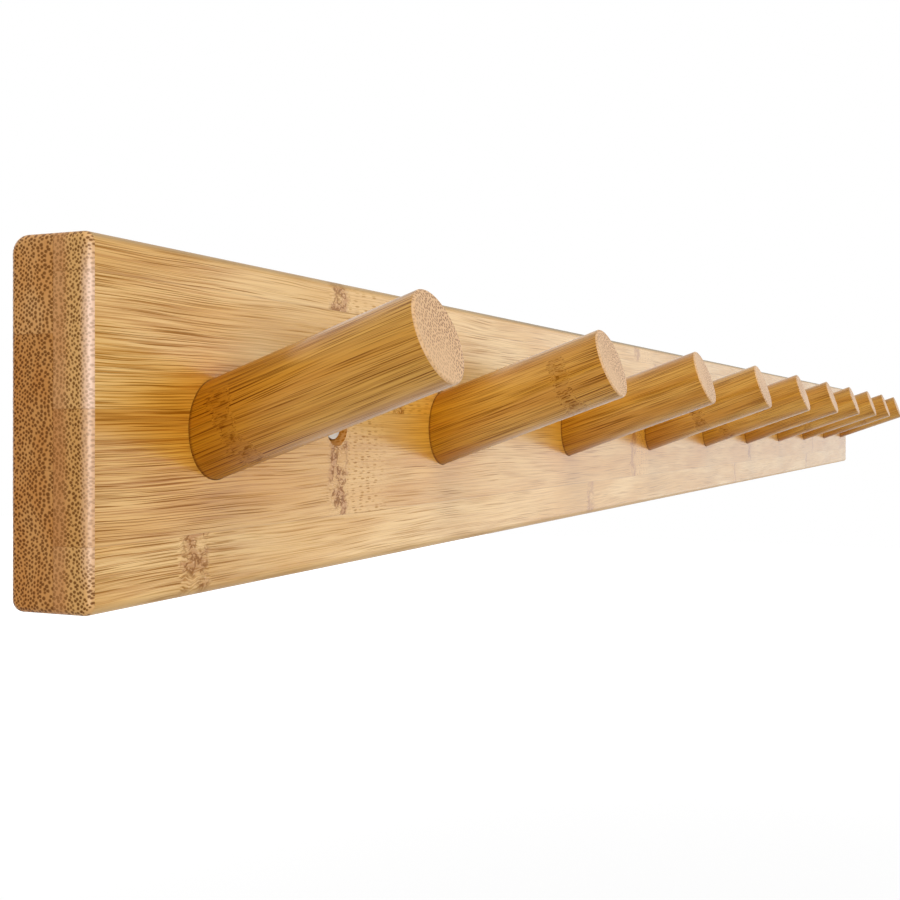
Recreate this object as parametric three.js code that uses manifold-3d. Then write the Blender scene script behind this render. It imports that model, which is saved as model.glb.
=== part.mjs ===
// Bamboo wall coat rack: a flat board made of glued strips, with round pegs that lean upward out of it.
// Millimetres, +Z up. The board runs along X, its back lies on the wall at Y = 0 and its front faces -Y.
// The origin is the middle of the back face.

import * as THREE from "three";
import { mergeVertices } from "three/addons/utils/BufferGeometryUtils.js";
import Module from "manifold-3d";

// Board
const BOARD_HEIGHT = 60;
const FRONT_LAYER = 7.2; // thickness of the front layer of strips
const BACK_LAYER = 8.8; // thickness of the back layer of strips
const STRIP_WIDTH = 21.5; // full width of one bamboo strip
const FRONT_JOINT = 2.3; // height above mid height of the front layer's middle glue joint
const BACK_JOINT = -7.4; // the same in the back layer, so that the layers' joints don't meet
const NARROWEST_STRIP = 2; // a narrower rest at the top or bottom edge stays on the strip next to it
const FRONT_RADIUS = 2; // round-over of the two long front edges
const BACK_TOP_RADIUS = 3;
const BACK_BOTTOM_RADIUS = 2;
const END_RADIUS = 1.3; // round-over all round the two ends

// Pegs
const PEG_COUNT = 10;
const PEG_PITCH = 100;
const END_MARGIN = 34.5; // from each end of the board to the nearest peg's middle
const PEG_DIAMETER = 17;
const PEG_REACH = 46.5; // along the peg's axis, from the board's front to the peg's free end
const PEG_TILT = THREE.MathUtils.degToRad(19.5); // upward lean, from square to the board
const PEG_DROP = 1; // the axes meet the front face this far below mid height
const PEG_EDGE_RADIUS = 0.6; // round-over of the free end
const BORE_FLOOR = 3.5; // board left behind the deepest point of a peg's bore
const PEG_CLEARANCE = 0.3; // glue space round the peg and behind it

// Wall screws, one near each end
const SCREW_PLACE = 0.45; // share of the way from the end peg to the next
const SCREW_LENGTH = 40;
const SHANK_DIAMETER = 3.5;
const HEAD_DIAMETER = 6.6;
const HEAD_RIM = 0.2; // straight edge of the head, above its cone
const SCREW_TIP = 5; // length of the pointed tip
const CROSS_WIDTH = 1; // arms of the driver's cross
const CROSS_SPAN = 3.8;
const CROSS_DEPTH = 1.3;
const COUNTERSINK_DIAMETER = 9.4; // a square cone, as the head is
const SHANK_CLEARANCE = 0.35;
const HEAD_CLEARANCE = 0.2; // square to the cone

const ROUND_SIDES = 32;
const ARC_STEPS = 4;
const OVERCUT = 5; // how far a cutter runs past the surface it opens

const BOARD_LENGTH = 2 * END_MARGIN + (PEG_COUNT - 1) * PEG_PITCH;
const BOARD_THICKNESS = FRONT_LAYER + BACK_LAYER;
const FRONT_Y = -BOARD_THICKNESS;
const TOP_Z = BOARD_HEIGHT / 2;
const PEG_RADIUS = PEG_DIAMETER / 2;
const PEG_TURN = Math.PI - PEG_TILT; // about X, from +Y to the way the pegs point
const BORE_RADIUS = PEG_RADIUS + PEG_CLEARANCE;
const BORE_DEPTH =
  (BOARD_THICKNESS - BORE_FLOOR - BORE_RADIUS * Math.sin(PEG_TILT)) / Math.cos(PEG_TILT);
const PEG_SEAT = BORE_DEPTH - PEG_CLEARANCE;
const HEAD_SINK = (COUNTERSINK_DIAMETER - HEAD_DIAMETER) / 2 - HEAD_CLEARANCE * Math.SQRT2 - HEAD_RIM;

const wasm = await Module();
wasm.setup();

function toSolid(geometry) {
  const bare = geometry.clone();
  bare.deleteAttribute("normal");
  bare.deleteAttribute("uv");
  const merged = mergeVertices(bare, 1e-4);
  return new wasm.Manifold(
    new wasm.Mesh({
      numProp: 3,
      vertProperties: new Float32Array(merged.attributes.position.array),
      triVerts: new Uint32Array(merged.index.array),
    })
  );
}

function toGeometry(solid) {
  const mesh = solid.getMesh();
  const geometry = new THREE.BufferGeometry();
  geometry.setAttribute("position", new THREE.BufferAttribute(mesh.vertProperties, 3));
  geometry.setIndex(new THREE.BufferAttribute(mesh.triVerts, 1));
  geometry.computeVertexNormals();
  return geometry;
}

function boxSolid(low, high) {
  const box = new THREE.BoxGeometry(high.x - low.x, high.y - low.y, high.z - low.z);
  box.translate((low.x + high.x) / 2, (low.y + high.y) / 2, (low.z + high.z) / 2);
  return toSolid(box);
}

// A solid of revolution about +Y. The profile lists [radius, height] and starts and ends on the axis.
function turned(profile) {
  const points = profile.map(([radius, height]) => new THREE.Vector2(radius, height));
  return new THREE.LatheGeometry(points, ROUND_SIDES);
}

function quarterArc(centre, radius, startAngle) {
  const points = [];
  for (let step = 0; step <= ARC_STEPS; step++) {
    const angle = startAngle + (step / ARC_STEPS) * (Math.PI / 2);
    points.push([centre[0] + radius * Math.cos(angle), centre[1] + radius * Math.sin(angle)]);
  }
  return points;
}

// The whole board before it is divided into strips: its section in Y and Z, run along X with rounded ends.
function boardSolid() {
  const corners = [
    { y: FRONT_Y, z: -TOP_Z, radius: FRONT_RADIUS, startAngle: Math.PI },
    { y: 0, z: -TOP_Z, radius: BACK_BOTTOM_RADIUS, startAngle: -Math.PI / 2 },
    { y: 0, z: TOP_Z, radius: BACK_TOP_RADIUS, startAngle: 0 },
    { y: FRONT_Y, z: TOP_Z, radius: FRONT_RADIUS, startAngle: Math.PI / 2 },
  ];
  const points = corners.flatMap(({ y, z, radius, startAngle }) => {
    const centreY = y === FRONT_Y ? y + radius : y - radius;
    const centreZ = z > 0 ? z - radius : z + radius;
    return quarterArc([centreY, centreZ], radius, startAngle);
  });
  const outline = new THREE.Shape(points.map(([y, z]) => new THREE.Vector2(y, z)));
  const length = BOARD_LENGTH - 2 * END_RADIUS;
  const geometry = new THREE.ExtrudeGeometry(outline, {
    depth: length,
    bevelEnabled: true,
    bevelThickness: END_RADIUS,
    bevelSize: END_RADIUS,
    bevelOffset: -END_RADIUS,
    bevelSegments: ARC_STEPS,
  });
  geometry.translate(0, 0, -length / 2);
  geometry.applyMatrix4(
    new THREE.Matrix4().makeBasis(
      new THREE.Vector3(0, 1, 0),
      new THREE.Vector3(0, 0, 1),
      new THREE.Vector3(1, 0, 0)
    )
  );
  return toSolid(geometry);
}

// Heights of one layer's glue joints, a strip width apart, between the board's top and bottom edges.
function jointHeights(middleJoint) {
  const outermost = TOP_Z - NARROWEST_STRIP;
  const jointsAbove = Math.floor((outermost - middleJoint) / STRIP_WIDTH);
  const jointsBelow = Math.floor((outermost + middleJoint) / STRIP_WIDTH);
  const heights = [TOP_Z];
  for (let step = jointsAbove; step >= -jointsBelow; step--) heights.push(middleJoint + step * STRIP_WIDTH);
  return [...heights, -TOP_Z];
}

function pegPlaces() {
  const first = -BOARD_LENGTH / 2 + END_MARGIN;
  return Array.from({ length: PEG_COUNT }, (_, index) => first + index * PEG_PITCH);
}

function screwPlaces() {
  const place = BOARD_LENGTH / 2 - END_MARGIN - SCREW_PLACE * PEG_PITCH;
  return [-place, place];
}

// The point on a peg's axis that lies the given depth behind the board's front.
function pegPoint(x, depth) {
  const along = new THREE.Vector3(0, -Math.cos(PEG_TILT), Math.sin(PEG_TILT));
  return new THREE.Vector3(x, FRONT_Y, -PEG_DROP).addScaledVector(along, -depth);
}

function pegBore(x) {
  const length = BORE_DEPTH + BORE_RADIUS + OVERCUT;
  const bore = turned([[0, 0], [BORE_RADIUS, 0], [BORE_RADIUS, length], [0, length]]);
  const floor = pegPoint(x, BORE_DEPTH);
  return toSolid(bore.rotateX(PEG_TURN).translate(floor.x, floor.y, floor.z));
}

function screwHole(x) {
  const holeRadius = SHANK_DIAMETER / 2 + SHANK_CLEARANCE;
  const mouthRadius = COUNTERSINK_DIAMETER / 2;
  const hole = turned([
    [0, -OVERCUT],
    [mouthRadius + OVERCUT, -OVERCUT],
    [holeRadius, mouthRadius - holeRadius],
    [holeRadius, BOARD_THICKNESS + OVERCUT],
    [0, BOARD_THICKNESS + OVERCUT],
  ]);
  return toSolid(hole.translate(x, FRONT_Y, 0));
}

function woodMaterial(color, roughness) {
  return new THREE.MeshStandardMaterial({ color, roughness, metalness: 0 });
}

function addPiece(parent, name, geometry, material) {
  const mesh = new THREE.Mesh(geometry, material);
  mesh.name = name;
  parent.add(mesh);
  return mesh;
}

// One layer of the board, strip by strip from the top, with every bore and screw hole cut through it.
function stripLayer(board, cuts, side, nearY, farY, middleJoint, color) {
  const layer = new THREE.Group();
  const heights = jointHeights(middleJoint);
  const halfLength = BOARD_LENGTH / 2;
  for (let index = 0; index + 1 < heights.length; index++) {
    const low = new THREE.Vector3(-halfLength, nearY, heights[index + 1]);
    const high = new THREE.Vector3(halfLength, farY, heights[index]);
    const strip = board.intersect(boxSolid(low, high)).subtract(cuts);
    addPiece(layer, `${side}_strip_${index + 1}`, toGeometry(strip), woodMaterial(color, 0.42));
  }
  return layer;
}

function pegRow() {
  const row = new THREE.Group();
  const length = PEG_SEAT + PEG_REACH;
  const edge = quarterArc([PEG_RADIUS - PEG_EDGE_RADIUS, length - PEG_EDGE_RADIUS], PEG_EDGE_RADIUS, 0);
  pegPlaces().forEach((x, index) => {
    const peg = turned([[0, 0], [PEG_RADIUS, 0], ...edge, [0, length]]);
    const name = `peg_${String(index + 1).padStart(2, "0")}`;
    const mesh = addPiece(row, name, peg, woodMaterial(0xb9823c, 0.4));
    mesh.rotation.x = PEG_TURN;
    mesh.position.copy(pegPoint(x, PEG_SEAT));
  });
  return row;
}

// A countersunk wood screw along +Y, its head's flat at the origin.
function screwGeometry() {
  const headRadius = HEAD_DIAMETER / 2;
  const shankRadius = SHANK_DIAMETER / 2;
  const blank = toSolid(
    turned([
      [0, 0],
      [headRadius, 0],
      [headRadius, HEAD_RIM],
      [shankRadius, HEAD_RIM + headRadius - shankRadius],
      [shankRadius, SCREW_LENGTH - SCREW_TIP],
      [0, SCREW_LENGTH],
    ])
  );
  const arm = (width, height) =>
    boxSolid(
      new THREE.Vector3(-width / 2, -CROSS_DEPTH, -height / 2),
      new THREE.Vector3(width / 2, CROSS_DEPTH, height / 2)
    );
  const cross = arm(CROSS_SPAN, CROSS_WIDTH).add(arm(CROSS_WIDTH, CROSS_SPAN));
  return toGeometry(blank.subtract(cross));
}

function screwPair() {
  const pair = new THREE.Group();
  screwPlaces().forEach((x, index) => {
    const steel = new THREE.MeshStandardMaterial({ color: 0xd4d2cd, roughness: 0.3, metalness: 1 });
    const screw = addPiece(pair, `wall_screw_${["left", "right"][index]}`, screwGeometry(), steel);
    screw.position.set(x, FRONT_Y + HEAD_SINK, 0);
  });
  return pair;
}

const board = boardSolid();
const holes = [...pegPlaces().map(pegBore), ...screwPlaces().map(screwHole)];
const cuts = holes.reduce((joined, hole) => joined.add(hole));
const layerY = FRONT_Y + FRONT_LAYER;

const rack = new THREE.Group();
rack.add(stripLayer(board, cuts, "front", FRONT_Y, layerY, FRONT_JOINT, 0xddb070));
rack.add(stripLayer(board, cuts, "back", layerY, 0, BACK_JOINT, 0xd2a468));
rack.add(pegRow());
rack.add(screwPair());

export default rack;
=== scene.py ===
"""A bamboo wall coat rack: a board of glued strips with ten round pegs that lean upward, held by two screws.

The CAD nodes give every place and size. Their visible surfaces are modelled again here with fine round-overs,
and finished with procedural bamboo that shows dots where the grain is cut across and streaks along it.
"""
import math

import bmesh
import bpy
from mathutils import Matrix, Vector


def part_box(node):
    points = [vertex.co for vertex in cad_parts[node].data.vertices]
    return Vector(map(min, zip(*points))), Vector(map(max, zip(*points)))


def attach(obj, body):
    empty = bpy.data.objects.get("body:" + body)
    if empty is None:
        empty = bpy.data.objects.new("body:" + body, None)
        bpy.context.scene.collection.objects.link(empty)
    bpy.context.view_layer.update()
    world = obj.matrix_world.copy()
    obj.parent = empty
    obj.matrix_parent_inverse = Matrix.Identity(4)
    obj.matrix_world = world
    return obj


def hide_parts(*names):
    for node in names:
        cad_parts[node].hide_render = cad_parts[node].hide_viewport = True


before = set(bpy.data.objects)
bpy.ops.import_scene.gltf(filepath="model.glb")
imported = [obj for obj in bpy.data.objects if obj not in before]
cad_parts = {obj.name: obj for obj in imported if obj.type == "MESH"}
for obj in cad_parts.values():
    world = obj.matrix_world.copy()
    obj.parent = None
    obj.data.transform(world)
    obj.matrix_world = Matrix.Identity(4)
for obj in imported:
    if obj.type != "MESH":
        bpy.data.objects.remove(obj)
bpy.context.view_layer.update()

MM = 0.001

# The board's round edges, as on the CAD solids
FRONT_RADIUS = 2.0 * MM
BACK_TOP_RADIUS = 3.0 * MM
BACK_BOTTOM_RADIUS = 2.0 * MM
END_RADIUS = 1.3 * MM
ROUND_STEPS = 8

# How near a strip's face counts as the board's own, and how near two points are one where the board is cut
FACE_TOLERANCE = 0.01 * MM
WELD_DISTANCE = 0.0001 * MM

# Pegs and their bores
PEG_TILT = math.radians(19.5)
PEG_DROP = 1.0 * MM
PEG_EDGE_RADIUS = 0.6 * MM
PEG_EDGE_STEPS = 6
BORE_GAP = 0.07 * MM
TURNED_SIDES = 96

# Screws and their holes
COUNTERSINK_RADIUS = 4.7 * MM
SCREW_HOLE_RADIUS = 2.1 * MM
HOLE_OVERSHOOT = 5 * MM
HEAD_EDGE = 0.12 * MM
HEAD_RIM = 0.2 * MM
SHANK_RADIUS = 1.3 * MM

# A screw's thread: a ridge that takes up a share of each turn and winds round a core
THREAD_RADIUS = 1.75 * MM
CORE_RADIUS = 1.15 * MM
THREAD_PITCH = 1.8 * MM
RIDGE_SHARE = 0.4
THREAD_LENGTH = 26.0 * MM
TIP_LENGTH = 5.0 * MM
THREAD_SIDES = 36
STEPS_PER_TURN = 12

# The driver's cross in a screw's head, which is narrower at its bottom
CROSS_SPAN = 3.8 * MM
CROSS_WIDTH = 1.0 * MM
CROSS_DEPTH = 1.3 * MM
CROSS_BOTTOM_SHARE = 0.45
CROSS_OVERSHOOT = 0.5 * MM
CROSS_TURN = math.radians(20)

# Edges with a sharper angle than this aren't smoothed
SHARP_ANGLE = math.radians(35)

# The strips from top to bottom: how dark each one is and how strong the dashes beside its knots are, both
# from 0 to 1, and how far its knots are from the left end, in millimetres
STEM_KNOTS = 4
STRIPS = {
    "front_strip_1": (0.05, 0.75, (80, 315, 552, 790)),
    "front_strip_2": (0.0, 0.6, (108, 344, 580, 812)),
    "front_strip_3": (0.5, 0.9, (80, 310, 540, 775)),
    "front_strip_4": (0.15, 0.15, (28, 257, 500, 745)),
    "back_strip_1": (0.25, 0.8, (130, 366, 600, 838)),
    "back_strip_2": (0.8, 0.8, (44, 280, 517, 750)),
    "back_strip_3": (0.7, 0.8, (205, 440, 676, 912)),
}

# How far each peg's knot is from its seated end, in millimetres, below zero for none
PEG_KNOTS = (17, 45, -50, 30, 19, -50, 26, -50, 38, -50)

# The seeds that give each strip and each peg its own grain
FRONT_SEED = 0.0
BACK_SEED = 2.1
STRIP_SEED_STEP = 0.37
PEG_SEED = 0.2
PEG_SEED_STEP = 0.61

# How far the first peg's end grain is turned, and how much the square of a peg's number adds to that
PEG_TURN = -math.pi / 4
PEG_TURN_GROWTH = 0.28

# The camera, fitted to the photograph: its place and heading, and in pixels of a 900 pixel frame the focal
# length and the height of the horizon
CAMERA_PLACE = Vector((-0.6462, -0.1469, -0.0003))
CAMERA_HEADING = math.radians(-66.47)
FRAME_PIXELS = 900
FOCAL_PIXELS = 1300.8
HORIZON_PIXEL = 425.4
SENSOR_WIDTH = 36.0
CLIP_START = 0.01

# The lights. The key light stands level with the rack, in front and to the left. The lacquer mirrors the
# weaker side light towards the camera. A soft light is overhead, and a weak one behind.
LIGHTS = {
    "key": {"place": (-3.4, -3.5, 0.15), "target": (-0.15, 0, 0), "size": (4.6, 2.2), "power": 150.0},
    "side": {"place": (3.2, -1.95, 0.1), "target": (-0.3, 0, 0), "size": (1.8, 2.2), "power": 9.5,
             "color": (1.0, 0.98, 0.92)},
    "top": {"place": (-1.0, -0.9, 2.5), "target": (0, 0, 0), "size": (3.0, 2.0), "power": 32.0},
    "back": {"place": (1.0, 3.2, 0.6), "target": (0, 0, 0), "size": (3.0, 2.0), "power": 24.0},
}
AMBIENT = 0.4

# The floor is pale. Where it is seen it also glows, the more the farther off, so that it is white but for the
# shadow. The glow is full at the second distance.
FLOOR_DROP = 0.6
FLOOR_REACH = 6.0
FLOOR_PAINT = (0.55, 0.55, 0.55, 1)
FLOOR_GLOW = 0.6
GLOW_DISTANCES = (1.0, 4.0)

# The corners of a square with half sides of one
SQUARE = ((-1, -1), (1, -1), (1, 1), (-1, 1))


def nodes_named(start):
    return sorted(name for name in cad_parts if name.startswith(start))


def middle_x(node):
    low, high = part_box(node)
    return (low.x + high.x) / 2


PEGS = nodes_named("peg_")
SCREWS = nodes_named("wall_screw_")
BOARD_LOW = Vector(min(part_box(strip)[0][axis] for strip in STRIPS) for axis in range(3))
BOARD_HIGH = Vector(max(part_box(strip)[1][axis] for strip in STRIPS) for axis in range(3))
SCREW_CENTRE = sum(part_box("wall_screw_right"), Vector()) / 2
PEG_RADIUS = (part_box("peg_01")[1].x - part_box("peg_01")[0].x) / 2


# Node helpers

class Tree:
    """Short names for building the nodes of a material or of the world."""

    # Noise stays near its middle, so that a swing is stretched by this much
    SWING_STRETCH = 2.6

    def __init__(self, owner):
        owner.use_nodes = True
        self.owner = owner
        self.nodes = owner.node_tree.nodes
        self.links = owner.node_tree.links
        self.nodes.clear()

    def new(self, kind, settings=None, **inputs):
        """A node with its settings, and with a value or link for each input, whose name has _ for a space."""
        node = self.nodes.new(kind)
        for key, value in (settings or {}).items():
            setattr(node, key, value)
        for key, value in inputs.items():
            self.set(node.inputs[key.replace("_", " ")], value)
        return node

    def set(self, socket, value):
        if isinstance(value, bpy.types.NodeSocket):
            self.links.new(value, socket)
        else:
            socket.default_value = value

    def finish(self, shader, output="ShaderNodeOutputMaterial"):
        """Puts the shader on the surface, and gives back what the nodes belong to."""
        self.new(output, Surface=shader.outputs[0])
        return self.owner

    def math(self, operation, *values):
        node = self.new("ShaderNodeMath", {"operation": operation})
        for socket, value in zip(node.inputs, values):
            self.set(socket, value)
        return node.outputs[0]

    def chain(self, operation, result, *others):
        """The operation on the first two values, then on its result and the next one, and so on."""
        for other in others:
            result = self.math(operation, result, other)
        return result

    def add(self, *values):
        return self.chain("ADD", *values)

    def times(self, *values):
        return self.chain("MULTIPLY", *values)

    def least(self, *values):
        return self.chain("MINIMUM", *values)

    def most(self, *values):
        return self.chain("MAXIMUM", *values)

    def minus(self, a, b):
        return self.math("SUBTRACT", a, b)

    def unsigned(self, value):
        return self.math("ABSOLUTE", value)

    def blend(self, factor, a, b):
        """The number between a and b that the factor says."""
        return self.add(a, self.times(factor, self.minus(b, a)))

    def ramp(self, value, low, high, to_low=0.0, to_high=1.0, kind="LINEAR"):
        """A straight ramp of value from low to high, level on either side."""
        node = self.new("ShaderNodeMapRange", {"interpolation_type": kind}, Value=value, From_Min=low,
                        From_Max=high, To_Min=to_low, To_Max=to_high)
        return node.outputs["Result"]

    def step(self, value, low, high, to_low=0.0, to_high=1.0):
        """A smooth step of value from low to high."""
        return self.ramp(value, low, high, to_low, to_high, "SMOOTHSTEP")

    def point(self, x, y, z=0.0):
        return self.new("ShaderNodeCombineXYZ", X=x, Y=y, Z=z).outputs[0]

    def split(self, vector):
        return tuple(self.new("ShaderNodeSeparateXYZ", Vector=vector).outputs)

    def length(self, vector):
        return self.new("ShaderNodeVectorMath", {"operation": "LENGTH"}, Vector=vector).outputs["Value"]

    def noise(self, place, frequencies, detail=2.0, roughness=0.5):
        """Noise from 0 to 1 at a place of two lengths and a shift, with a frequency for each length."""
        first, second, shift = place
        place = self.point(self.times(first, frequencies[0]), self.times(second, frequencies[1]), shift)
        node = self.new("ShaderNodeTexNoise", Vector=place, Scale=1.0, Detail=detail, Roughness=roughness)
        return node.outputs["Fac"]

    def swing(self, place, frequencies, reach, detail=1.0):
        """Noise that swings about zero, up to about reach either way."""
        noise = self.noise(place, frequencies, detail)
        return self.times(self.minus(noise, 0.5), self.SWING_STRETCH * reach)

    def cells(self, x, y, randomness):
        """Points scattered one to a unit square: the nearest one's distance, random colour and place."""
        node = self.new("ShaderNodeTexVoronoi", {"voronoi_dimensions": "2D"}, Vector=self.point(x, y),
                        Scale=1.0, Randomness=randomness)
        return node.outputs["Distance"], node.outputs["Color"], self.split(node.outputs["Position"])

    def mix(self, factor, a, b, kind="MIX"):
        node = self.new("ShaderNodeMix", {"data_type": "RGBA", "blend_type": kind})
        self.set(node.inputs["Factor"], factor)
        self.set(node.inputs[6], a)
        self.set(node.inputs[7], b)
        return node.outputs[2]

    def tint(self, factor, color, by):
        """A colour multiplied by another one, as far as the factor says."""
        return self.mix(factor, color, by, "MULTIPLY")

    def attribute(self, name):
        return self.new("ShaderNodeAttribute", {"attribute_name": name}).outputs["Fac"]


def rgb(red, green, blue):
    """A colour written as in the photograph, as the linear one that a shader takes."""
    shares = (red / 255, green / 255, blue / 255)
    return tuple(((c + 0.055) / 1.055) ** 2.4 if c > 0.04 else c / 12.92 for c in shares) + (1,)


# Mesh helpers

def add_object(name, data, matrix=None):
    thing = bpy.data.objects.new(name, data)
    bpy.context.scene.collection.objects.link(thing)
    if matrix is not None:
        thing.matrix_world = matrix
    return thing


def remove(things):
    for thing in things:
        bpy.data.objects.remove(thing)


def mesh_from(name, vertices, faces):
    mesh = bpy.data.meshes.new(name)
    mesh.from_pydata(vertices, [], faces)
    mesh.update()
    return mesh


def closed_mesh(name, made):
    """The mesh of a closed bmesh, with its faces turned outward."""
    bmesh.ops.recalc_face_normals(made, faces=made.faces)
    mesh = bpy.data.meshes.new(name)
    made.to_mesh(mesh)
    made.free()
    return mesh


def turn_angles(sides):
    return [2 * math.pi * side / sides for side in range(sides)]


def add_ring(made, radii, height):
    """Vertices round local Z, one for each radius."""
    return [made.verts.new((radius * math.cos(angle), radius * math.sin(angle), height))
            for radius, angle in zip(radii, turn_angles(len(radii)))]


def add_centre(made, sides, height):
    """A ring whose vertices are all the same one, on local Z."""
    return [made.verts.new((0, 0, height))] * sides


def join_rings(made, rings):
    """Faces between each ring of vertices and the next."""
    for lower, upper in zip(rings, rings[1:]):
        for side in range(len(lower)):
            after = (side + 1) % len(lower)
            corners = [lower[side], lower[after], upper[after], upper[side]]
            made.faces.new([v for i, v in enumerate(corners) if v not in corners[:i]])


def turned_mesh(name, profile):
    """A solid of revolution about local Z from (radius, height) pairs that start and end on the axis."""
    made = bmesh.new()
    join_rings(made, [add_ring(made, [radius] * TURNED_SIDES, height) if radius else
                      add_centre(made, TURNED_SIDES, height) for radius, height in profile])
    return closed_mesh(name, made)


def arc(centre, radius, start, steps=ROUND_STEPS):
    """A quarter circle from the start angle, as points in a plane."""
    angles = [start + math.pi / 2 * step / steps for step in range(steps + 1)]
    return [(centre[0] + radius * math.cos(a), centre[1] + radius * math.sin(a)) for a in angles]


def cut(thing, cutters):
    """Takes the cutters out of a mesh."""
    for cutter in cutters:
        modifier = thing.modifiers.new("cut", "BOOLEAN")
        modifier.operation = "DIFFERENCE"
        modifier.solver = "EXACT"
        modifier.object = cutter
    bpy.context.view_layer.update()
    graph = bpy.context.evaluated_depsgraph_get()
    final = bpy.data.meshes.new_from_object(thing.evaluated_get(graph))
    thing.modifiers.clear()
    thing.data = final


def mark(mesh, **values):
    """Stores numbers that a material reads, the same at every point of a mesh."""
    for name, value in values.items():
        attribute = mesh.attributes.new(name, "FLOAT", "POINT")
        attribute.data.foreach_set("value", [value] * len(mesh.vertices))


def finish_piece(thing, node, material):
    """Smooths a piece, gives it its material and lets it stand for its CAD node."""
    thing.data.shade_smooth()
    thing.data.set_sharp_from_angle(angle=SHARP_ANGLE)
    weighted = thing.modifiers.new("flat_faces", "WEIGHTED_NORMAL")
    weighted.keep_sharp = True
    thing.data.materials.clear()
    thing.data.materials.append(material)
    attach(thing, "root")
    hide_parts(node)


# Camera and surroundings

def make_camera():
    data = bpy.data.cameras.new("camera")
    data.sensor_width = SENSOR_WIDTH
    data.lens = FOCAL_PIXELS * SENSOR_WIDTH / FRAME_PIXELS
    data.shift_y = (HORIZON_PIXEL - FRAME_PIXELS / 2) / FRAME_PIXELS
    data.clip_start = CLIP_START
    camera = add_object("camera", data)
    camera.location = CAMERA_PLACE
    camera.rotation_euler = (math.pi / 2, 0, CAMERA_HEADING)
    bpy.context.scene.camera = camera


def make_light(name, place, target, size, power, color=(1.0, 1.0, 1.0)):
    data = bpy.data.lights.new(name, "AREA")
    data.shape = "RECTANGLE"
    data.size, data.size_y = size
    data.energy = power
    data.color = color
    light = add_object(name, data)
    light.location = place
    light.rotation_euler = (Vector(target) - Vector(place)).to_track_quat("-Z", "Y").to_euler()


def seen(tree):
    """One for what is seen directly, mirrored or through glass, and zero for what only gives light."""
    path = tree.new("ShaderNodeLightPath")
    return tree.most(*(path.outputs[f"Is {kind} Ray"] for kind in ("Camera", "Glossy", "Transmission")))


def make_world():
    """White where it is seen, and dimmer as a light."""
    world = bpy.data.worlds.new("studio")
    bpy.context.scene.world = world
    tree = Tree(world)
    strength = tree.ramp(seen(tree), 0.0, 1.0, AMBIENT, 1.0)
    background = tree.new("ShaderNodeBackground", Color=(1, 1, 1, 1), Strength=strength)
    tree.finish(background, "ShaderNodeOutputWorld")


def floor_material():
    tree = Tree(bpy.data.materials.new("floor"))
    away = tree.length(tree.new("ShaderNodeTexCoord").outputs["Object"])
    strength = tree.times(seen(tree), tree.step(away, *GLOW_DISTANCES, FLOOR_GLOW, 1.0))
    glow = tree.new("ShaderNodeEmission", Strength=strength)
    paint = tree.new("ShaderNodeBsdfDiffuse", Color=FLOOR_PAINT)
    both = tree.new("ShaderNodeAddShader")
    tree.set(both.inputs[0], paint.outputs[0])
    tree.set(both.inputs[1], glow.outputs[0])
    return tree.finish(both)


def make_floor():
    corners = [(x * FLOOR_REACH, y * FLOOR_REACH, -FLOOR_DROP) for x, y in SQUARE]
    floor = add_object("floor", mesh_from("floor", corners, [(0, 1, 2, 3)]))
    floor.data.materials.append(floor_material())


# Bamboo. Inside the materials, lengths are in millimetres and frequencies are to a millimetre.

# Colours along the board's fibres: the ground, that beside a knot, fine lines, streaks and a knot's marks
BOARD_PALE = rgb(238, 198, 130)
BOARD_DEEP = rgb(220, 168, 84)
BOARD_BY_KNOT = rgb(236, 193, 118)
BOARD_LINE = rgb(182, 122, 26)
BOARD_STREAK = rgb(142, 89, 0)
KNOT_STAIN = rgb(180, 118, 46)
KNOT_HOOK = rgb(122, 70, 2)
KNOT_SPECK = rgb(236, 192, 138)

# Colours of the board's long edges, as painted shade, of the streaks in the painted shade round a peg, of the
# joints and of the holes' walls
LOWER_EDGE_SHADE = rgb(205, 162, 98)
UPPER_EDGE_SHADE = rgb(196, 152, 88)
UPPER_SHADE = rgb(120, 104, 70)
GOLD_SHADE_STREAK = rgb(128, 72, 0)
GLUE_LINE = rgb(120, 72, 20)
HOLE_WALL = rgb(158, 96, 20)

# Colours across the board's fibres: the ground, the front layer's outer and inner side, the painted highlight
# on the rounded corner, the dots and the painted shade on the back edge
END_PALE = rgb(216, 164, 104)
END_DEEP = rgb(206, 146, 80)
END_OUTER = rgb(214, 164, 98)
END_INNER = rgb(196, 138, 84)
END_CORNER_HIGHLIGHT = rgb(236, 200, 176)
END_DOT = rgb(96, 50, 2)
END_BACK_SHADE = rgb(92, 62, 40)

# Colours of the pegs, and the painted shadow where a peg meets the board
PEG_PALE = rgb(214, 160, 66)
PEG_DEEP = rgb(200, 138, 40)
PEG_LINE = rgb(164, 102, 12)
PEG_STREAK = rgb(100, 48, 0)
PEG_KNOT = rgb(150, 90, 14)
PEG_KNOT_MARK = rgb(112, 58, 0)
PEG_CONTACT_SHADOW = rgb(90, 44, 4)
PEG_END = rgb(218, 176, 129)
PEG_END_DOT = rgb(126, 80, 46)

# Tints that multiply a colour: a dark strip's, and as painted shade the board's round a peg and a peg's near
# the board
DARK_STRIP_TINT = rgb(227, 205, 160)
GOLD_SHADE_TINT = rgb(249, 227, 135)
PEG_BASE_SHADE_TINT = rgb(228, 208, 84)

# Stretches of x over which the board's looks change. To the left of its stretch, streaks lie close together,
# are darkest, aren't darkened in the painted shade round a peg or have dull lacquer, the painted shade on the
# upper edge is lighter, or the knots' hooks are darker. To the right of the last one, all the lacquer is a
# little duller.
CLOSE_STREAKS = (-458.0, -432.0)
DARKEST_STREAKS = (-450.0, -425.0)
PLAIN_GOLD_STREAKS = (-440.0, -400.0)
DULL_STREAKS = (-420.0, -250.0)
LIGHT_UPPER_EDGE = (-400.0, -250.0)
DARK_HOOKS = (-400.0, -300.0)
FULL_GLOSS = (-150.0, 250.0)

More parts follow.
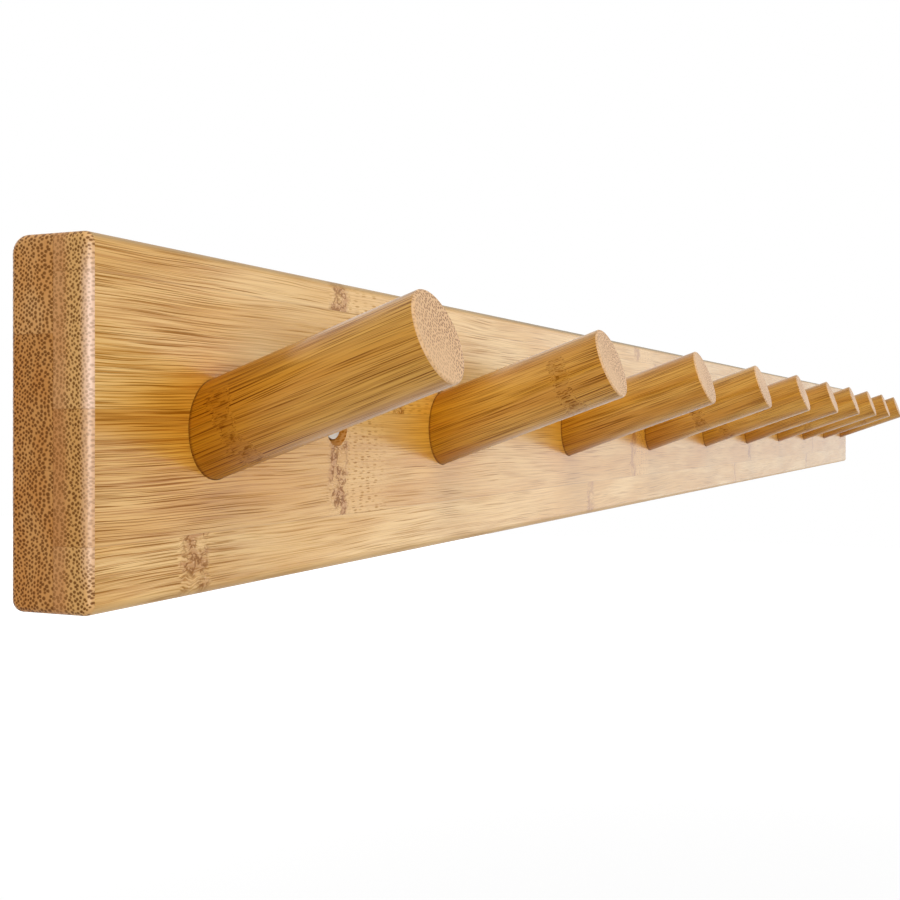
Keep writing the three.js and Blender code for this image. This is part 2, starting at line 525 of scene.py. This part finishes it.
# Distances from a stem knot's middle: where its column fades on either side, where the trail of dashes after
# it begins and ends, and where the marks along the fibres run on faster, with how many they gain there
KNOT_FADE = (5.0, 2.0)
TRAIL_BEGIN = (2.0, 4.5)
TRAIL_END = (26.0, 14.0)
KNOT_RUN = (-5.0, 5.0)
KNOT_GAIN = 4.0
TRAIL_RUN = (4.0, 23.0)
TRAIL_GAIN = 5.6

# How long one mark along the fibres is
BOARD_MARK = 24.0
PEG_MARK = 34.0

# Fibre bundles, on every second crossing of rows and columns. At the stem's outer side there are so many to a
# millimetre. The spread is how much farther apart the rows are for each millimetre inwards, and the growth is
# the power of that by which the bundles are larger.
BUNDLE_ROWS = 2.3
BUNDLE_COLUMNS = 2.85
BUNDLE_SPREAD = 0.1
BUNDLE_GROWTH = 0.8
BUNDLE_SCATTER = 0.58

# One row and one column in the unit of the bundles' distances, about half a millimetre
ROW_STEP = 0.87
COLUMN_STEP = 0.7

# Half the length and height of the painted shade round each peg
GOLD_SHADE_REACH = (40, 18)

# How far two seeds that differ by one lie apart in the noise
SEED_SHIFT = 37.0

# Wood under a thin satin lacquer
WOOD_ROUGHNESS = 0.5
WOOD_IOR = 1.3
WOOD_SHEEN = (1.0, 0.85, 0.66, 1.0)
STREAK_SHEEN = (0.3, 0.18, 0.05, 1.0)
LACQUER_ROUGHNESS = 0.2
LACQUER_IOR = 1.38
STREAK_BUMP = 0.1
STREAK_DEPTH = 0.2 * MM

# Zinc
ZINC_DARK = rgb(168, 164, 158)
ZINC_LIGHT = rgb(196, 192, 186)
SCRATCH_FREQUENCY = 2600.0


def millimetres(tree, coordinates):
    place = tree.new("ShaderNodeVectorMath", {"operation": "SCALE"}, Vector=coordinates.outputs["Object"])
    place.inputs["Scale"].default_value = 1 / MM
    return tree.split(place.outputs[0])


def lacquered(tree, color, streak, gloss, streak_gloss):
    """Finishes a material: the lacquer sinks into the streaks, and has a share of its gloss there."""
    bump = tree.new("ShaderNodeBump", Strength=STREAK_BUMP, Distance=STREAK_DEPTH,
                    Height=tree.times(streak, -1.0))
    return tree.finish(tree.new(
        "ShaderNodeBsdfPrincipled", Base_Color=color, Roughness=WOOD_ROUGHNESS, IOR=WOOD_IOR,
        Specular_Tint=tree.mix(streak, WOOD_SHEEN, STREAK_SHEEN),
        Coat_Weight=tree.times(gloss, tree.step(streak, 0.0, 0.6, 1.0, streak_gloss)),
        Coat_Roughness=LACQUER_ROUGHNESS, Coat_IOR=LACQUER_IOR, Normal=bump.outputs[0]))


def slivers(tree, phase, across, spacing, jitter, length, width):
    """Long thin marks along the fibres, of several widths and strengths.

    phase counts the marks along a line, length is one mark's share of that, and spacing and width are across.
    """
    row = tree.times(across, 1 / spacing)
    _, color, place = tree.cells(phase, row, jitter)
    width_chance, strength_chance, _ = tree.split(color)
    lengthwise = tree.times(tree.minus(phase, place[0]), 2 / length)
    sideways = tree.times(tree.unsigned(tree.minus(row, place[1])), 2 * spacing / width)
    sideways = tree.math("DIVIDE", sideways, tree.add(width_chance, 0.5))
    sliver = tree.step(tree.add(sideways, tree.times(lengthwise, lengthwise)), 1.1, 0.3)
    return tree.times(sliver, tree.step(strength_chance, 0.0, 0.8, 0.25, 1.0))


def bundle_dots(tree, depth, across, seed):
    """The nearest fibre bundle that is cut across: how far its middle is, for its size, and its random number.

    depth is the distance from the stem's hard outer side, where the bundles are small and close together.
    """
    shift = tree.times(seed, SEED_SHIFT)
    inward = tree.swing((depth, across, shift), (0.12, 0.1), 0.8)
    sideways = tree.swing((depth, across, tree.add(shift, 9.0)), (0.16, 0.1), 0.6)
    spread = tree.add(tree.times(tree.add(depth, inward), BUNDLE_SPREAD), 1.0)
    rows = tree.times(tree.math("LOGARITHM", spread, math.e), BUNDLE_ROWS / BUNDLE_SPREAD)
    columns = tree.times(tree.add(across, sideways, shift), BUNDLE_COLUMNS)
    _, color, place = tree.cells(tree.times(tree.add(rows, columns), 0.5),
                                 tree.times(tree.minus(rows, columns), 0.5), BUNDLE_SCATTER)
    from_row = tree.minus(rows, tree.add(place[0], place[1]))
    from_column = tree.minus(columns, tree.minus(place[0], place[1]))
    offset = tree.point(tree.times(from_row, spread, ROW_STEP), tree.times(from_column, COLUMN_STEP))
    size = tree.math("POWER", spread, BUNDLE_GROWTH)
    return tree.math("DIVIDE", tree.length(offset), size), tree.split(color)[0]


def stem_knots(tree, along, across, shift):
    """The stem's knots: their columns, the trails after them, and how far they bring the marks forward.

    The marks along the fibres run on faster at a knot, so that they are short there.
    """
    bend = tree.swing((0.0, across, shift), (0.0, 0.12), 1.2)
    ragged = tree.swing((along, across, shift), (0.2, 0.5), 2.2, 2.0)
    weight = tree.attribute("trail")
    fade, full = KNOT_FADE
    column, trail, ahead = 0.0, 0.0, 0.0
    for number in range(1, STEM_KNOTS + 1):
        away = tree.add(tree.minus(along, tree.attribute(f"knot_{number}")), bend)
        edge = tree.add(away, ragged)
        column = tree.add(column, tree.times(tree.step(edge, -fade, -full), tree.step(edge, fade, full)))
        trail = tree.add(trail, tree.times(tree.step(edge, *TRAIL_BEGIN), tree.step(edge, *TRAIL_END)))
        ahead = tree.add(ahead, tree.ramp(away, *KNOT_RUN, 0.0, KNOT_GAIN))
        ahead = tree.add(ahead, tree.ramp(away, *TRAIL_RUN, 0.0, tree.times(weight, TRAIL_GAIN)))
    return column, tree.times(trail, weight), ahead


def knot_colors(tree, color, x, across, column, shift):
    """A knot's brown stain with small dark hooks and pale specks, and how much of a hook is there."""
    cloud = tree.noise((x, across, shift), (0.2, 0.24), 1.0)
    stain = tree.times(tree.step(cloud, 0.38, 0.62), column)
    color = tree.mix(tree.times(stain, 0.75), color, KNOT_STAIN)
    field = tree.noise((x, across, tree.add(shift, 5.0)), (0.42, 0.62), 2.0, 0.6)
    hook = tree.step(tree.unsigned(tree.minus(field, 0.5)), 0.07, 0.015)
    hook = tree.times(hook, tree.times(column, tree.step(cloud, 0.36, 0.54, 0.15, 1.0)))
    hook = tree.times(hook, tree.step(x, *DARK_HOOKS, 1.0, 0.45))
    color = tree.mix(tree.times(hook, 0.72), color, KNOT_HOOK)
    speck, chance, _ = tree.cells(tree.times(x, 0.62), across, 0.95)
    speck = tree.times(tree.step(speck, 0.26, 0.12), tree.step(tree.split(chance)[0], 0.5, 0.62))
    return tree.mix(tree.times(speck, column, 0.45), color, KNOT_SPECK), hook


def board_streaks(tree, x, bent, phase, column, trail, left, shift):
    """Long streaks in patches, close together at the left end, and short dashes beside the knots."""
    patch = tree.noise((x, bent, tree.add(shift, 3.0)), (0.03, 0.22))
    patch = tree.most(tree.step(patch, 0.36, 0.6, 0.25, 1.0), left)
    streak = tree.times(slivers(tree, phase, bent, 0.56, 0.85, 0.9, 0.26), patch)
    thin = slivers(tree, tree.times(phase, 0.5), tree.add(bent, 4.0), 0.4, 0.9, 0.85, 0.2)
    thin = tree.times(thin, tree.step(left, 0.0, 1.0, 0.5, 1.0))
    streak = tree.times(tree.most(streak, thin), tree.step(trail, 0.5, 0.0))
    dashes = tree.times(slivers(tree, phase, tree.add(bent, 8.0), 0.62, 0.6, 0.68, 0.38), trail)
    return tree.times(tree.most(streak, dashes), tree.step(column, 0.0, 1.0, 1.0, 0.6))


def board_long_grain(tree, x, across, shift):
    """The colour along the fibres, and how much of a streak is there."""
    column, trail, ahead = stem_knots(tree, x, across, shift)
    bend = tree.swing((x, across, shift), (0.012, 0.05), 1.3)
    ripple = tree.swing((x, across, shift), (0.06, 0.4), 0.16)
    swirl = tree.swing((x, across, shift), (0.3, 0.4), 0.7)
    bent = tree.add(tree.add(across, bend), tree.add(ripple, tree.times(column, swirl)))
    bent = tree.add(bent, shift)
    left = tree.step(tree.add(x, tree.times(bend, 8.0)), *CLOSE_STREAKS, 1.0, 0.0)

    ground = tree.noise((x, bent, shift), (0.018, 0.13), 3.0)
    color = tree.mix(tree.step(ground, 0.3, 0.7), BOARD_PALE, BOARD_DEEP)
    color = tree.mix(tree.times(trail, 0.3), color, BOARD_BY_KNOT)
    lines = tree.noise((x, bent, shift), (0.035, 3.4), 3.0, 0.6)
    lines = tree.times(tree.step(lines, 0.44, 0.64, 0.0, 0.8), tree.step(left, 0.0, 1.0, 0.52, 1.0))
    color = tree.mix(lines, color, BOARD_LINE)
    color, hook = knot_colors(tree, color, x, bent, column, shift)
    phase = tree.add(tree.times(x, 1 / BOARD_MARK), ahead)
    streak = board_streaks(tree, x, bent, phase, column, trail, left, shift)
    dark = tree.times(streak, tree.step(x, *DARKEST_STREAKS, 0.88, 0.68))
    return tree.mix(dark, color, BOARD_STREAK), tree.most(streak, tree.times(hook, 0.7))


def board_long_edges(tree, color, x, upward):
    """The long edges are painted browner where they are rounded, as shade, and the upper one has more painted
    shade.
    """
    # Painted shade on the rounded long edges, and more painted shade along the upper one
    edge = tree.mix(tree.step(upward, -0.2, 0.2), LOWER_EDGE_SHADE, UPPER_EDGE_SHADE)
    color = tree.mix(tree.step(tree.unsigned(upward), 0.1, 0.6, 0.0, 0.6), color, edge)
    upper = tree.times(tree.step(upward, 0.3, 0.8), tree.step(upward, 0.999, 0.985))
    return tree.mix(tree.times(upper, tree.step(x, *LIGHT_UPPER_EDGE, 0.45, 0.9)), color, UPPER_SHADE)


def board_end_grain(tree, y, z, depth, shift):
    """The colour where the fibres are cut across, and its dots: brown, in the front layer with pale cores."""
    front = tree.attribute("front")
    distance, chance = bundle_dots(tree, depth, z, tree.attribute("seed"))
    stain = tree.noise((y, z, shift), (0.3, 0.12))
    color = tree.mix(tree.step(stain, 0.3, 0.7), END_PALE, END_DEEP)
    color = tree.mix(tree.times(front, tree.step(depth, 5.5, 3.0)), color, END_OUTER)
    inner = tree.times(front, tree.step(depth, 4.2, 5.6))
    color = tree.mix(tree.times(inner, 0.7), color, END_INNER)
    dot = tree.step(tree.add(distance, tree.times(chance, 0.16)), 0.62, 0.27)
    core = tree.times(front, tree.times(tree.step(depth, 1.5, 3.0), tree.step(distance, 0.16, 0.04)))
    dot = tree.times(dot, tree.step(tree.times(core, chance), 0.0, 0.8, 1.0, 0.5))
    return color, tree.times(dot, tree.blend(inner, tree.step(depth, 0.5, 6.0, 0.95, 0.85), 0.55))


def board_end_edges(tree, color, dot, x, y, z):
    """The rounded corner between end and front is painted paler as a highlight, and the back one darker as
    painted shade.
    """
    at_end = tree.step(tree.minus(BOARD_HIGH.x / MM, tree.unsigned(x)), 2.6, 2.2)
    # A painted highlight on the corner, fainter near the top and bottom, which also makes the dots fainter
    corner = tree.times(tree.step(tree.minus(y, BOARD_LOW.y / MM), 2.4, 0.4), at_end)
    corner = tree.times(corner, tree.step(tree.unsigned(tree.add(z, -1.0)), 28.5, 21.0, 0.15, 1.0))
    corner = tree.times(corner, tree.step(z, -24.0, -4.0, 0.6, 1.0))
    color = tree.mix(tree.times(corner, 0.8), color, END_CORNER_HIGHLIGHT)
    dot = tree.times(dot, tree.step(corner, 0.0, 0.8, 1.0, 0.4))
    color = tree.mix(tree.times(dot, 0.95), color, END_DOT)
    # A painted shade along the back edge of each end
    back_shade = tree.times(tree.step(y, -0.6, -0.1, 0.0, 0.6), at_end)
    return tree.mix(back_shade, color, END_BACK_SHADE), dot


def glue_lines(tree, color, z, depth):
    """A strip is a little darker where it meets the next one or the other layer."""
    to_joint = tree.least(tree.minus(z, tree.attribute("low_z")), tree.minus(tree.attribute("high_z"), z),
                          tree.minus(tree.attribute("thickness"), depth))
    return tree.mix(tree.step(to_joint, 0.2, 0.02, 0.0, 0.25), color, GLUE_LINE)


def painted_shade_round_pegs(tree, color, streak, end, x, z):
    """Painted shade and reflection of each peg on the front: a deeper gold round it, with darker streaks
    there.
    """
    first, second = (middle_x(peg) / MM for peg in PEGS[:2])
    along = tree.math("PINGPONG", tree.minus(x, first), (second - first) / 2)
    high = tree.add(z, PEG_DROP / MM)
    oval = tree.length(tree.point(tree.times(along, 1 / GOLD_SHADE_REACH[0]), tree.times(high, 1 / GOLD_SHADE_REACH[1])))
    on_front = tree.times(tree.attribute("front"), tree.step(end, 0.5, 0.0))
    # Painted shade and reflection: a deeper gold tint with darker streaks
    gold = tree.times(tree.step(oval, 1.0, 0.2), on_front)
    dark = tree.times(streak, gold, tree.step(x, *PLAIN_GOLD_STREAKS, 0.0, 0.75))
    return tree.mix(dark, tree.tint(gold, color, GOLD_SHADE_TINT), GOLD_SHADE_STREAK)


def hole_walls(tree, x, z, normal):
    """One on the walls of the screw holes, and zero elsewhere."""
    hole, rim = SCREW_CENTRE / MM, COUNTERSINK_RADIUS / MM
    aside = tree.point(tree.minus(tree.unsigned(x), hole.x), 0.0, tree.minus(z, hole.z))
    return tree.times(tree.step(tree.length(aside), rim + 0.1, rim - 0.1), tree.step(normal[1], -0.98, -0.9))


def board_material():
    tree = Tree(bpy.data.materials.new("board_bamboo"))
    coordinates = tree.new("ShaderNodeTexCoord")
    x, y, z = millimetres(tree, coordinates)
    normal = tree.split(coordinates.outputs["Normal"])
    endways, upright = tree.unsigned(normal[0]), tree.unsigned(normal[2])
    end = tree.step(endways, 0.06, 0.2)
    depth = tree.unsigned(tree.minus(y, tree.attribute("outer_y")))
    shift = tree.times(tree.attribute("seed"), SEED_SHIFT)

    long_color, streak = board_long_grain(tree, x, tree.add(z, depth), shift)
    long_color = board_long_edges(tree, long_color, x, normal[2])
    end_color, dot = board_end_grain(tree, y, z, depth, shift)
    end_color, dot = board_end_edges(tree, end_color, dot, x, y, z)
    color = glue_lines(tree, tree.mix(end, long_color, end_color), z, depth)
    color = tree.tint(tree.attribute("tone"), color, DARK_STRIP_TINT)
    color = painted_shade_round_pegs(tree, color, streak, end, x, z)
    wall = hole_walls(tree, x, z, normal)
    color = tree.mix(tree.times(wall, 0.75), color, HOLE_WALL)

    # The lacquer is dull on the ends, on the long edges and in the screw holes
    gloss = tree.times(tree.step(endways, 0.8, 0.98, 1.0, 0.3), tree.step(wall, 0.0, 1.0, 1.0, 0.3))
    gloss = tree.times(gloss, tree.step(upright, 0.15, 0.6, 1.0, 0.3))
    gloss = tree.times(gloss, tree.step(x, *FULL_GLOSS, 1.0, 0.85))
    streak_gloss = tree.step(x, *DULL_STREAKS, 0.3, 0.8)
    return lacquered(tree, color, tree.blend(end, streak, dot), gloss, streak_gloss)


def peg_knot(tree, x, y, along, around, shift):
    """How much of a knot is there, on two sides of the peg, and how far from the knot's middle it is."""
    away = tree.minus(along, tree.attribute("knot"))
    ragged = tree.swing((along, around, shift), (0.2, 0.4), 2.0, 2.0)
    knot = tree.step(tree.unsigned(tree.add(away, ragged)), 2.8, 0.9)
    sideways = tree.unsigned(tree.add(tree.times(x, 0.12), tree.times(y, 0.06)))
    return tree.times(knot, tree.step(sideways, 0.4, 0.8)), away


def peg_long_grain(tree, x, y, along, shift):
    """The colour along a peg, with fine streaks and on some pegs a knot, and how much of a streak it is."""
    around = tree.times(tree.math("ARCTAN2", y, x), PEG_RADIUS / MM)
    bend = tree.swing((along, around, shift), (0.02, 0.1), 0.8)
    around = tree.add(around, bend, shift)
    knot, away = peg_knot(tree, x, y, along, around, shift)
    phase = tree.add(tree.times(along, 1 / PEG_MARK), tree.times(knot, tree.ramp(away, -7.0, 7.0, 0.0, 2.5)))

    ground = tree.noise((along, around, shift), (0.02, 0.2), 1.0)
    color = tree.mix(tree.step(ground, 0.3, 0.7), PEG_PALE, PEG_DEEP)
    lines = tree.noise((along, around, shift), (0.025, 3.0), 3.0, 0.6)
    color = tree.mix(tree.step(lines, 0.42, 0.66, 0.0, 0.5), color, PEG_LINE)
    patch = tree.step(tree.noise((along, around, shift), (0.04, 0.16)), 0.36, 0.6, 0.4, 1.0)
    streak = tree.times(slivers(tree, phase, around, 0.6, 0.9, 0.9, 0.28), patch)
    short = slivers(tree, tree.times(phase, 2.2), tree.add(around, 4.0), 0.42, 0.9, 0.85, 0.2)
    streak = tree.most(streak, tree.times(short, 0.8))
    color = tree.mix(tree.times(streak, 0.95), color, PEG_STREAK)
    spot = tree.noise((along, around, tree.add(shift, 5.0)), (0.5, 1.3), 2.0, 0.6)
    spot = tree.times(tree.step(spot, 0.55, 0.63), knot)
    color = tree.mix(tree.times(knot, 0.2), color, PEG_KNOT)
    return tree.mix(tree.times(spot, 0.6), color, PEG_KNOT_MARK), tree.most(streak, spot)


def peg_end_grain(tree, x, y, shift):
    """The colour across a peg, and its dots, which fade towards the stem's inner side."""
    turn = tree.attribute("turn")
    cosine, sine = tree.math("COSINE", turn), tree.math("SINE", turn)
    side = tree.minus(tree.times(x, cosine), tree.times(y, sine))
    across = tree.add(tree.times(x, sine), tree.times(y, cosine))
    distance, _, _ = tree.cells(tree.times(side, 1.45), tree.times(across, 1.7), 0.7)
    cloud = tree.add(side, tree.swing((x, y, shift), (0.2, 0.2), 5.0))
    dot = tree.times(tree.step(distance, 0.46, 0.16), tree.step(cloud, -6.0, 3.0, 0.35, 0.85))
    return tree.mix(dot, PEG_END, PEG_END_DOT), dot


def peg_material():
    tree = Tree(bpy.data.materials.new("peg_bamboo"))
    coordinates = tree.new("ShaderNodeTexCoord")
    x, y, along = millimetres(tree, coordinates)
    shift = tree.times(tree.attribute("seed"), SEED_SHIFT)
    color, streak = peg_long_grain(tree, x, y, along, shift)
    end_color, dot = peg_end_grain(tree, x, y, shift)
    end = tree.step(tree.split(coordinates.outputs["Normal"])[2], 0.2, 0.5)

    # Near the board the peg is painted a deeper gold as shade and its lacquer is duller, and a painted shadow
    # makes it dark where the two meet
    out = tree.times(tree.minus(along, tree.attribute("mouth")), math.cos(PEG_TILT))
    out = tree.minus(out, tree.times(y, math.sin(PEG_TILT)))
    # Painted shade: a deeper gold near the board
    color = tree.tint(tree.step(out, 22.0, 0.0), color, PEG_BASE_SHADE_TINT)
    # Painted shadow where the peg meets the board
    color = tree.mix(tree.step(out, 0.6, 0.1, 0.0, 0.55), color, PEG_CONTACT_SHADOW)
    gloss = tree.times(tree.step(end, 0.0, 1.0, 0.9, 0.3), tree.step(out, 0.0, 24.0, 0.3, 1.0))
    return lacquered(tree, tree.mix(end, color, end_color), tree.blend(end, streak, dot), gloss, 0.35)


def steel_material():
    """Bright zinc, a little uneven."""
    tree = Tree(bpy.data.materials.new("screw_zinc"))
    place = tree.new("ShaderNodeTexCoord").outputs["Object"]
    scratch = tree.new("ShaderNodeTexNoise", Vector=place, Scale=SCRATCH_FREQUENCY, Detail=3.0, Roughness=0.5)
    scratch = scratch.outputs["Fac"]
    return tree.finish(tree.new(
        "ShaderNodeBsdfPrincipled", Metallic=1.0, Base_Color=tree.mix(scratch, ZINC_DARK, ZINC_LIGHT),
        Roughness=tree.step(scratch, 0.2, 0.8, 0.28, 0.42)))


# The board

def board_outline(inset):
    """The board's section in Y and Z, drawn in by an inset, with its four round corners."""
    corners = (
        (BOARD_LOW.y, BOARD_LOW.z, 1, 1, FRONT_RADIUS, math.pi),
        (BOARD_HIGH.y, BOARD_LOW.z, -1, 1, BACK_BOTTOM_RADIUS, -math.pi / 2),
        (BOARD_HIGH.y, BOARD_HIGH.z, -1, -1, BACK_TOP_RADIUS, 0),
        (BOARD_LOW.y, BOARD_HIGH.z, 1, -1, FRONT_RADIUS, math.pi / 2),
    )
    points = []
    for y, z, inward_y, inward_z, radius, start in corners:
        centre = (y + inward_y * radius, z + inward_z * radius)
        points += arc(centre, radius - inset, start)
    return points


def board_mesh():
    """The whole board, as rings of its outline that shrink round the two ends."""
    round_end = arc((END_RADIUS, END_RADIUS), END_RADIUS, math.pi)
    stations = [(BOARD_LOW.x + along, inset) for along, inset in round_end]
    stations += [(BOARD_HIGH.x - along, inset) for along, inset in reversed(round_end)]
    made = bmesh.new()
    rings = [[made.verts.new((x, y, z)) for y, z in board_outline(inset)] for x, inset in stations]
    join_rings(made, rings)
    made.faces.new(rings[0][::-1])
    made.faces.new(rings[-1])
    return closed_mesh("board", made)


def slice_mesh(mesh, low, high):
    """The part of the board's mesh between two heights and two depths, closed where it is cut."""
    made = bmesh.new()
    made.from_mesh(mesh)
    up, back = Vector((0, 0, 1)), Vector((0, 1, 0))
    for outward, place, face in ((-up, low, BOARD_LOW), (up, high, BOARD_HIGH),
                                 (-back, low, BOARD_LOW), (back, high, BOARD_HIGH)):
        if abs((face - place).dot(outward)) < FACE_TOLERANCE:
            continue
        everything = made.verts[:] + made.edges[:] + made.faces[:]
        halves = bmesh.ops.bisect_plane(made, geom=everything, plane_co=place, plane_no=outward,
                                        clear_outer=True, dist=WELD_DISTANCE)
        edges = [item for item in halves["geom_cut"] if isinstance(item, bmesh.types.BMEdge)]
        bmesh.ops.holes_fill(made, edges=edges)
    return closed_mesh("slice", made)


def crosses(cutter, low, high):
    """Whether a cutter's box and the one between two corners overlap."""
    corners = [cutter.matrix_world @ Vector(corner) for corner in cutter.bound_box]
    return all(max(corner[axis] for corner in corners) > low[axis] and
               min(corner[axis] for corner in corners) < high[axis] for axis in range(3))


def peg_length():
    low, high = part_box("peg_01")
    return ((high.y - low.y) - 2 * PEG_RADIUS * math.sin(PEG_TILT)) / math.cos(PEG_TILT)


def peg_matrix(x):
    """Puts local Z along a peg, with the seated end's middle at the origin."""
    along = Vector((0, -math.cos(PEG_TILT), math.sin(PEG_TILT)))
    seat_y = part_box("peg_01")[1].y - PEG_RADIUS * math.sin(PEG_TILT)
    mouth = Vector((x, BOARD_LOW.y, -PEG_DROP))
    seat = mouth - along * (seat_y - BOARD_LOW.y) / math.cos(PEG_TILT)
    return Matrix.Translation(seat) @ Matrix.Rotation(math.pi / 2 - PEG_TILT, 4, "X")


def bore_cutters():
    radius, length = PEG_RADIUS + BORE_GAP, peg_length()
    mesh = turned_mesh("bore", [(0, 0), (radius, 0), (radius, length), (0, length)])
    return [add_object("bore_" + node, mesh, peg_matrix(middle_x(node))) for node in PEGS]


def screw_matrix(node):
    """Puts local Z along a screw, from the middle of its head into the wall."""
    low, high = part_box(node)
    place = Vector((middle_x(node), low.y, (low.z + high.z) / 2))
    return Matrix.Translation(place) @ Matrix.Rotation(-math.pi / 2, 4, "X")


def hole_cutters():
    below = BOARD_HIGH.y - BOARD_LOW.y + HOLE_OVERSHOOT
    mesh = turned_mesh("hole", [
        (0, -HOLE_OVERSHOOT), (COUNTERSINK_RADIUS + HOLE_OVERSHOOT, -HOLE_OVERSHOOT),
        (SCREW_HOLE_RADIUS, COUNTERSINK_RADIUS - SCREW_HOLE_RADIUS), (SCREW_HOLE_RADIUS, below), (0, below)])
    cutters = []
    for node in SCREWS:
        matrix = screw_matrix(node)
        matrix.translation.y = BOARD_LOW.y
        cutters.append(add_object("hole_" + node, mesh, matrix))
    return cutters


def make_strips(material):
    whole = board_mesh()
    cutters = bore_cutters() + hole_cutters()
    for node, (tone, trail, knots) in STRIPS.items():
        side = node.split("_")[0]
        outer, seed = (BOARD_LOW, FRONT_SEED) if side == "front" else (BOARD_HIGH, BACK_SEED)
        low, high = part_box(node)
        strip = add_object(node + "_wood", slice_mesh(whole, low, high))
        cut(strip, [cutter for cutter in cutters if crosses(cutter, low, high)])
        places = {f"knot_{number}": BOARD_LOW.x / MM + knot for number, knot in enumerate(knots, 1)}
        mark(strip.data, seed=STRIP_SEED_STEP * int(node[-1]) + seed, tone=tone, trail=trail,
             front=float(side == "front"), outer_y=outer.y / MM, thickness=(high.y - low.y) / MM,
             low_z=low.z / MM, high_z=high.z / MM, **places)
        finish_piece(strip, node, material)
    remove(cutters)


# The pegs

def make_pegs(material):
    length = peg_length()
    mouth = (peg_matrix(0).inverted() @ Vector((0, BOARD_LOW.y, -PEG_DROP))).z / MM
    centre = (PEG_RADIUS - PEG_EDGE_RADIUS, length - PEG_EDGE_RADIUS)
    profile = [(0, 0), (PEG_RADIUS, 0), *arc(centre, PEG_EDGE_RADIUS, 0, PEG_EDGE_STEPS), (0, length)]
    for index, (node, knot) in enumerate(zip(PEGS, PEG_KNOTS)):
        peg = add_object(node + "_wood", turned_mesh(node, profile), peg_matrix(middle_x(node)))
        mark(peg.data, seed=PEG_SEED_STEP * index + PEG_SEED, turn=PEG_TURN_GROWTH * index**2 + PEG_TURN,
             knot=knot, mouth=mouth)
        finish_piece(peg, node, material)


# The screws

def thread_radii(height, length):
    """The radii round a screw at a height on its thread, which grows at its start and narrows to the tip."""
    turns = (height - (length - THREAD_LENGTH)) / THREAD_PITCH
    growth = min(1, turns)
    narrowing = min(1, (length - height) / TIP_LENGTH)
    core = SHANK_RADIUS + (CORE_RADIUS - SHANK_RADIUS) * growth
    radii = []
    for angle in turn_angles(THREAD_SIDES):
        from_ridge = abs((turns - angle / (2 * math.pi)) % 1 - 0.5)
        ridge = max(0, 1 - from_ridge * 2 / RIDGE_SHARE) * growth
        radii.append((core + (THREAD_RADIUS - core) * ridge) * narrowing)
    return radii


def screw_mesh(name, head_radius, length):
    """A countersunk wood screw along local Z: rings that follow the head, the shank and a helical thread."""
    cone_end = HEAD_RIM + head_radius - SHANK_RADIUS
    levels = [(head_radius - HEAD_EDGE, 0), (head_radius, HEAD_EDGE), (head_radius, HEAD_RIM),
              (SHANK_RADIUS, cone_end)]
    steps = round(THREAD_LENGTH / THREAD_PITCH * STEPS_PER_TURN)
    heights = [length - THREAD_LENGTH + THREAD_LENGTH * step / steps for step in range(steps)]
    made = bmesh.new()
    rings = [add_centre(made, THREAD_SIDES, 0)]
    rings += [add_ring(made, [radius] * THREAD_SIDES, height) for radius, height in levels]
    rings += [add_ring(made, thread_radii(height, length), height) for height in heights]
    rings.append(add_centre(made, THREAD_SIDES, length))
    join_rings(made, rings)
    return closed_mesh(name, made)


def cross_cutter(matrix, turned):
    """One arm of the driver's cross, narrower at its bottom."""
    corners = []
    for height, share in ((-CROSS_OVERSHOOT, 1.0), (CROSS_DEPTH, CROSS_BOTTOM_SHARE)):
        half_span, half_width = CROSS_SPAN / 2 * share, CROSS_WIDTH / 2 * share
        corners += [(x * half_span, y * half_width, height) for x, y in SQUARE]
    sides = [(i, (i + 1) % 4, (i + 1) % 4 + 4, i + 4) for i in range(4)]
    mesh = mesh_from("cross", corners, [(3, 2, 1, 0), (4, 5, 6, 7)] + sides)
    return add_object("cross", mesh, matrix @ Matrix.Rotation(math.pi / 2 * turned, 4, "Z"))


def make_screws(material):
    for node in SCREWS:
        low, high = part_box(node)
        matrix = screw_matrix(node) @ Matrix.Rotation(CROSS_TURN, 4, "Z")
        screw = add_object(node + "_steel", screw_mesh(node, (high.x - low.x) / 2, high.y - low.y), matrix)
        cutters = [cross_cutter(matrix, turned) for turned in (0, 1)]
        cut(screw, cutters)
        remove(cutters)
        finish_piece(screw, node, material)


bpy.context.scene.view_settings.view_transform = "Standard"
make_camera()
make_world()
for light_name, light in LIGHTS.items():
    make_light(light_name, **light)
make_floor()
make_strips(board_material())
make_pegs(peg_material())
make_screws(steel_material())
